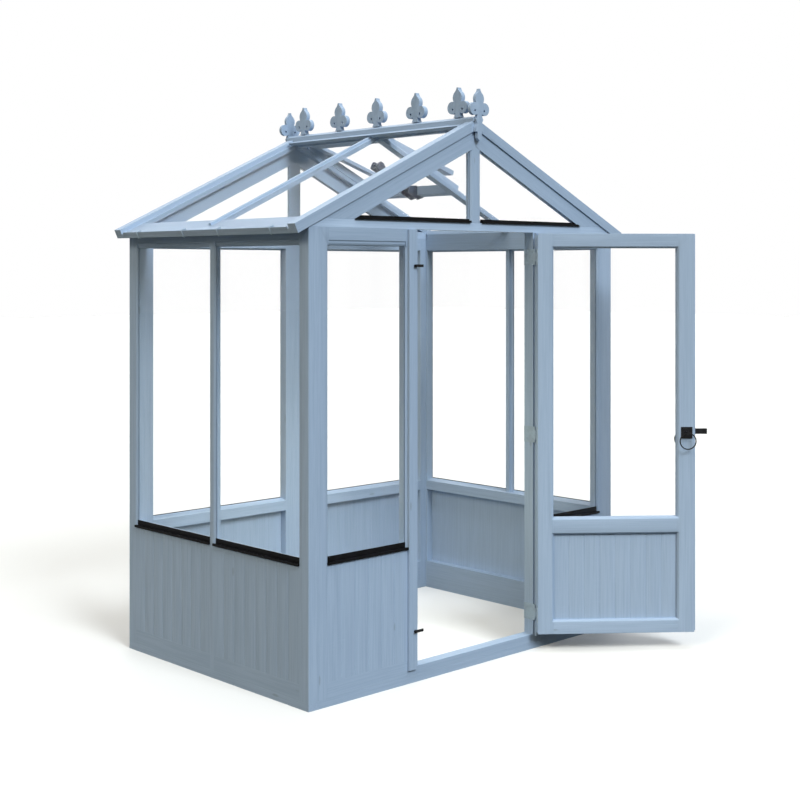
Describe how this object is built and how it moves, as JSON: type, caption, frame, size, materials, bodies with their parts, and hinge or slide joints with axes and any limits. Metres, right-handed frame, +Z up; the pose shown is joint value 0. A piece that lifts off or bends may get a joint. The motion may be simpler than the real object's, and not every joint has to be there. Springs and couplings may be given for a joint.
{
  "type": "wooden greenhouse",
  "caption": "Wooden greenhouse: glazed walls over boards, gabled glass roof with a raised vent and crest finials, and a hinged half-glazed door with a ring latch.",
  "frame": {"origin": "on the ground, under the middle of the front sill, half way through the front wall", "axes": "+Z up, +Y runs into the house from the door, +X to the right seen from the front"},
  "size_m": [1.9782, 1.7718, 2.441],
  "materials": {
    "painted_timber": "satin paint",
    "clear_glass": "clear",
    "glazing_strip": "matte",
    "hinge_metal": "dull",
    "black_metal": "satin",
    "opener_metal": "satin"
  },
  "bodies": {
    "frame": {"back_boards": "painted_timber", "back_glass": "clear_glass", "back_posts": "painted_timber", "back_rails": "painted_timber", "back_sole": "painted_timber", "back_strips": "glazing_strip", "button_screws": "black_metal", "crest_finials": "painted_timber", "door_laths": "painted_timber", "door_stop": "painted_timber", "eaves_boards": "painted_timber", "end_finials": "painted_timber", "front_boards": "painted_timber", "front_glass": "clear_glass", "front_posts": "painted_timber", "front_rails": "painted_timber", "front_sole": "painted_timber", "front_strips": "glazing_strip", "gable_glass": "clear_glass", "gable_glazing_strips": "glazing_strip", "gable_rafters": "painted_timber", "gable_ties": "painted_timber", "hinge_jamb_plates": "hinge_metal", "king_posts": "painted_timber", "ridge_board": "painted_timber", "ridge_cap": "painted_timber", "roof_bars": "painted_timber", "roof_glass": "clear_glass", "side_boards": "painted_timber", "side_glass": "clear_glass", "side_posts": "painted_timber", "side_rails": "painted_timber", "side_soles": "painted_timber", "side_strips": "glazing_strip", "threshold": "painted_timber", "vent_glass": "clear_glass", "vent_kerbs": "painted_timber", "vent_leaf": "painted_timber", "vent_opener": "opener_metal", "vent_sill": "painted_timber", "verge_rafters": "painted_timber"},
    "door": {"door_stiles": "painted_timber", "door_rails": "painted_timber", "door_panel": "painted_timber", "door_glass": "clear_glass", "hinge_door_plates": "hinge_metal", "latch_plates": "black_metal"},
    "latch": {"latch_spindle": "black_metal", "latch_rings": "black_metal"},
    "upper_button": {"upper_turn_button": "black_metal"},
    "lower_button": {"lower_turn_button": "black_metal"}
  },
  "joints": [
    {"name": "door_hinge", "type": "hinge", "parent": "frame", "child": "door", "pos_m": [0.363, -0.0424, 0.941], "axis": [0, 0, 1], "range_deg": [-140, 30]},
    {"name": "latch_turn", "type": "hinge", "parent": "door", "child": "latch", "pos_m": [0.84983, -0.48667, 0.951], "axis": [-0.6428, -0.766, 0], "range_deg": [0, 60]},
    {"name": "upper_button_turn", "type": "hinge", "parent": "frame", "child": "upper_button", "pos_m": [-0.37, -0.045, 1.68], "axis": [0, -1, 0], "range_deg": [0, 90]},
    {"name": "lower_button_turn", "type": "hinge", "parent": "frame", "child": "lower_button", "pos_m": [-0.37, -0.045, 0.21], "axis": [0, -1, 0], "range_deg": [0, 90]}
  ]
}
